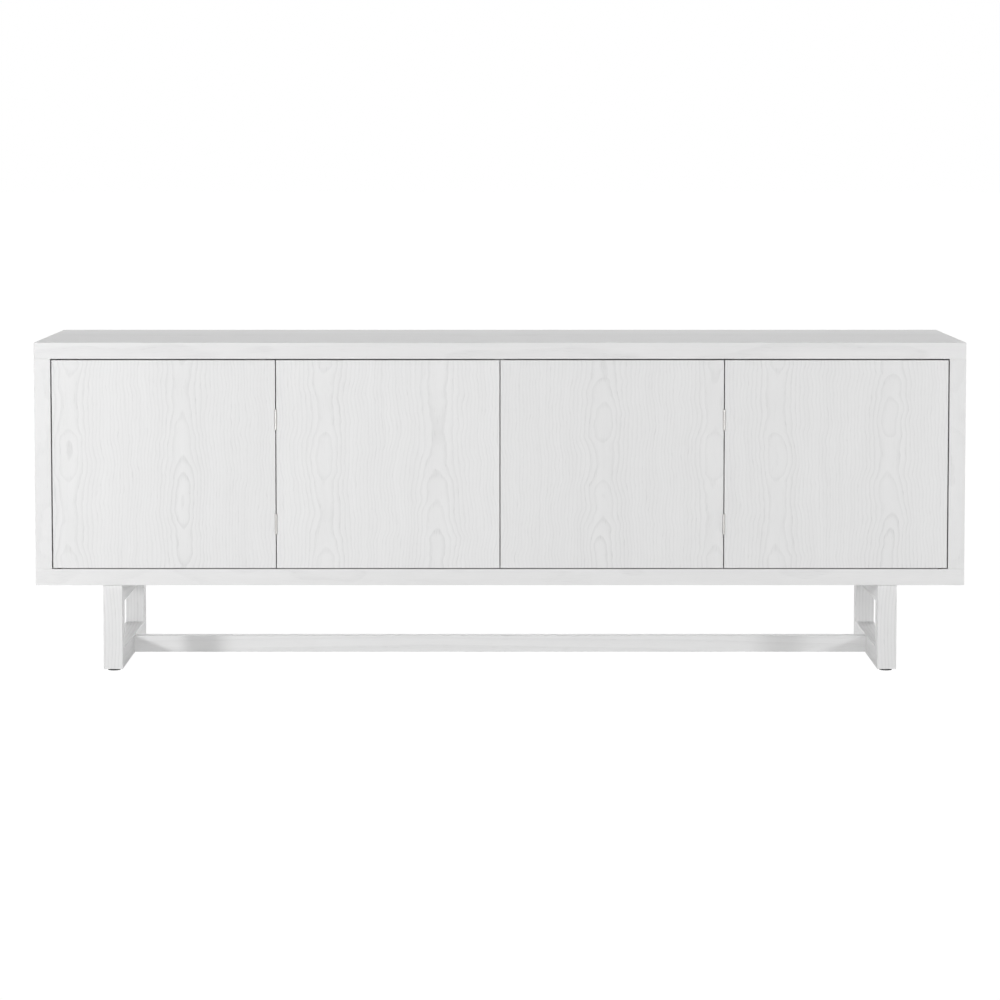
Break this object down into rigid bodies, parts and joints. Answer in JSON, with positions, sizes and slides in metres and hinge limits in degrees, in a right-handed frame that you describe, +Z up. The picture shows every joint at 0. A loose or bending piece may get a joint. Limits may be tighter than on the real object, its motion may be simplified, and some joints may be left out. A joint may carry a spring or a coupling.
{
  "type": "tv stand with folding doors",
  "caption": "Low wide media stand: plain white wood case on closed square-section leg frames with a floor stretcher, shut by flush handleless folding doors over shelved compartments.",
  "frame": {"origin": "on the floor, under the middle of the case", "axes": "+X along the width to the viewer's right when facing the doors, +Y from the doors towards the back, +Z up"},
  "size_m": [1.829, 0.424, 0.651],
  "materials": {
    "white_stained_wood": "satin",
    "white_back_board": "satin",
    "beech_dowel": "raw",
    "satin_nickel": "satin",
    "black_steel": "satin",
    "zinc_screw": "satin",
    "brass_bush": "satin",
    "white_plastic": "matte",
    "grey_plastic": "matte",
    "black_nylon": "matte"
  },
  "bodies": {
    "case": {"top_panel": "white_stained_wood", "bottom_panel": "white_stained_wood", "side_panel_left": "white_stained_wood", "side_panel_right": "white_stained_wood", "centre_partition": "white_stained_wood", "back_panel": "white_back_board", "shelf_left": "white_stained_wood", "shelf_right": "white_stained_wood", "shelf_pins": "satin_nickel", "cable_grommet_left": "white_plastic", "cable_grommet_right": "white_plastic", "corner_dowels": "beech_dowel", "back_panel_screws": "zinc_screw", "pivot_bushes": "brass_bush", "latch_screws": "zinc_screw", "stretcher": "white_stained_wood", "leg_frame_screws": "zinc_screw", "leg_frame_dowels": "beech_dowel", "outer_latch_housing_left": "white_plastic", "outer_latch_housing_right": "white_plastic", "inner_latch_housing_left": "white_plastic", "inner_latch_housing_right": "white_plastic", "leg_front_post_left": "white_stained_wood", "leg_front_post_right": "white_stained_wood", "leg_back_post_left": "white_stained_wood", "leg_back_post_right": "white_stained_wood", "leg_top_rail_left": "white_stained_wood", "leg_top_rail_right": "white_stained_wood", "leg_bottom_rail_left": "white_stained_wood", "leg_bottom_rail_right": "white_stained_wood", "glide_front_left": "black_nylon", "glide_front_right": "black_nylon", "glide_back_left": "black_nylon", "glide_back_right": "black_nylon"},
    "outer_door_left": {"outer_door_left": "white_stained_wood", "outer_hinge_leaves_left": "satin_nickel", "hinge_pins_left": "satin_nickel", "outer_door_screws_left": "zinc_screw", "pivot_pins_left": "black_steel", "outer_strike_plate_left": "satin_nickel"},
    "inner_door_left": {"inner_door_left": "white_stained_wood", "inner_hinge_leaves_left": "satin_nickel", "inner_door_screws_left": "zinc_screw", "inner_strike_plate_left": "satin_nickel"},
    "outer_plunger_left": {"outer_latch_plunger_left": "grey_plastic"},
    "inner_plunger_left": {"inner_latch_plunger_left": "grey_plastic"},
    "outer_door_right": {"outer_door_right": "white_stained_wood", "outer_hinge_leaves_right": "satin_nickel", "hinge_pins_right": "satin_nickel", "outer_door_screws_right": "zinc_screw", "pivot_pins_right": "black_steel", "outer_strike_plate_right": "satin_nickel"},
    "inner_door_right": {"inner_door_right": "white_stained_wood", "inner_hinge_leaves_right": "satin_nickel", "inner_door_screws_right": "zinc_screw", "inner_strike_plate_right": "satin_nickel"},
    "outer_plunger_right": {"outer_latch_plunger_right": "grey_plastic"},
    "inner_plunger_right": {"inner_latch_plunger_right": "grey_plastic"}
  },
  "joints": [
    {"name": "outer_door_left_swing", "type": "hinge", "parent": "case", "child": "outer_door_left", "pos_m": [-0.8679, -0.2037, 0.4115], "axis": [0, 0, -1], "range_deg": [0, 90]},
    {"name": "inner_door_left_fold", "type": "hinge", "parent": "outer_door_left", "child": "inner_door_left", "pos_m": [-0.44045, -0.21, 0.4115], "axis": [0, 0, -1], "range_deg": [0, 170]},
    {"name": "outer_door_right_swing", "type": "hinge", "parent": "case", "child": "outer_door_right", "pos_m": [0.8679, -0.2037, 0.4115], "axis": [0, 0, 1], "range_deg": [0, 90]},
    {"name": "inner_door_right_fold", "type": "hinge", "parent": "outer_door_right", "child": "inner_door_right", "pos_m": [0.44045, -0.21, 0.4115], "axis": [0, 0, 1], "range_deg": [0, 170]},
    {"name": "outer_latch_left_push", "type": "slide", "parent": "case", "child": "outer_plunger_left", "axis": [0, 1, 0], "range_m": [0, 0.003], "stiffness_N_per_m": 600},
    {"name": "inner_latch_left_push", "type": "slide", "parent": "case", "child": "inner_plunger_left", "axis": [0, 1, 0], "range_m": [0, 0.003], "stiffness_N_per_m": 600},
    {"name": "outer_latch_right_push", "type": "slide", "parent": "case", "child": "outer_plunger_right", "axis": [0, 1, 0], "range_m": [0, 0.003], "stiffness_N_per_m": 600},
    {"name": "inner_latch_right_push", "type": "slide", "parent": "case", "child": "inner_plunger_right", "axis": [0, 1, 0], "range_m": [0, 0.003], "stiffness_N_per_m": 600}
  ]
}
